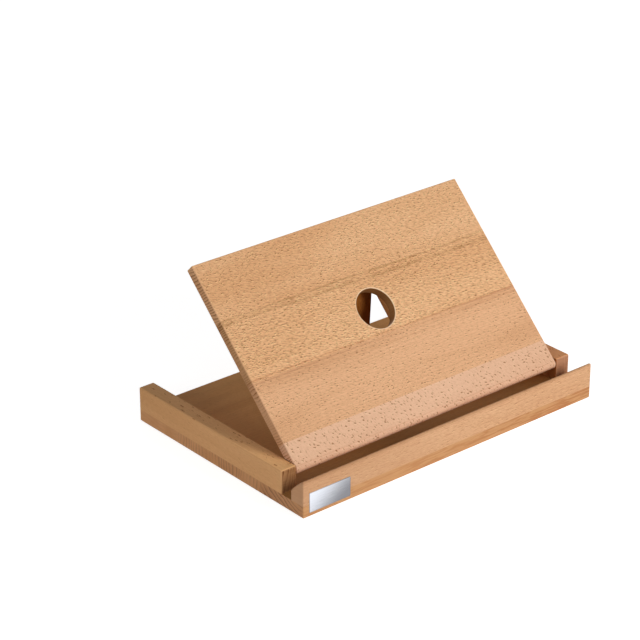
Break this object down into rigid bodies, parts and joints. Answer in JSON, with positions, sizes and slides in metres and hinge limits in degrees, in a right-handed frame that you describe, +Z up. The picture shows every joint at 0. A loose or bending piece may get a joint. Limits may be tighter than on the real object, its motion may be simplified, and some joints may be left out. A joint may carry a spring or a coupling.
{
  "type": "cookbook stand",
  "caption": "Folding wooden cookbook stand: a flat base with side rails and a front lip carries a hinged reading panel with a round finger hole, held up by a prop on its back.",
  "frame": {"origin": "on the table under the middle of the base board, level with the undersides of the feet", "axes": "+X to the right along the front lip, +Y from the lip to the back, +Z up"},
  "size_m": [0.35, 0.2355, 0.1732],
  "materials": {
    "beech_base": "oiled beech, satin",
    "beech_rail": "oiled beech, satin",
    "beech_lip": "oiled beech, satin",
    "beech_panel": "oiled beech, satin",
    "beech_batten": "oiled beech, satin",
    "beech_prop": "oiled beech, satin",
    "brushed_plate": "blank brushed plate",
    "bright_steel": "bright drawn rod",
    "zinc_screw": "zinc-plated, countersunk",
    "grey_rubber": "matt anti-slip rubber"
  },
  "bodies": {
    "base": {"base_stave_1": "beech_base", "base_stave_2": "beech_base", "base_stave_3": "beech_base", "base_stave_4": "beech_base", "left_rail": "beech_rail", "right_rail": "beech_rail", "front_lip": "beech_lip", "rail_screws": "zinc_screw", "left_hinge_pin": "bright_steel", "right_hinge_pin": "bright_steel", "label_plate": "brushed_plate", "rubber_foot_front_left": "grey_rubber", "rubber_foot_front_right": "grey_rubber", "rubber_foot_back_left": "grey_rubber", "rubber_foot_back_right": "grey_rubber"},
    "reading_panel": {"panel_stave_1": "beech_panel", "panel_stave_2": "beech_panel", "panel_stave_3": "beech_panel", "panel_stave_4": "beech_panel", "left_batten": "beech_batten", "right_batten": "beech_batten", "batten_screws": "zinc_screw", "prop_pivot_rod": "bright_steel"},
    "prop": {"prop": "beech_prop"}
  },
  "joints": [
    {"name": "panel_tilt", "type": "hinge", "parent": "base", "child": "reading_panel", "pos_m": [0, -0.0835, 0.0296], "axis": [1, 0, 0], "range_deg": [0, 110]},
    {"name": "prop_swing", "type": "hinge", "parent": "reading_panel", "child": "prop", "pos_m": [0, 0.0247, 0.12155], "axis": [1, 0, 0], "range_deg": [-48.9, 41]}
  ]
}
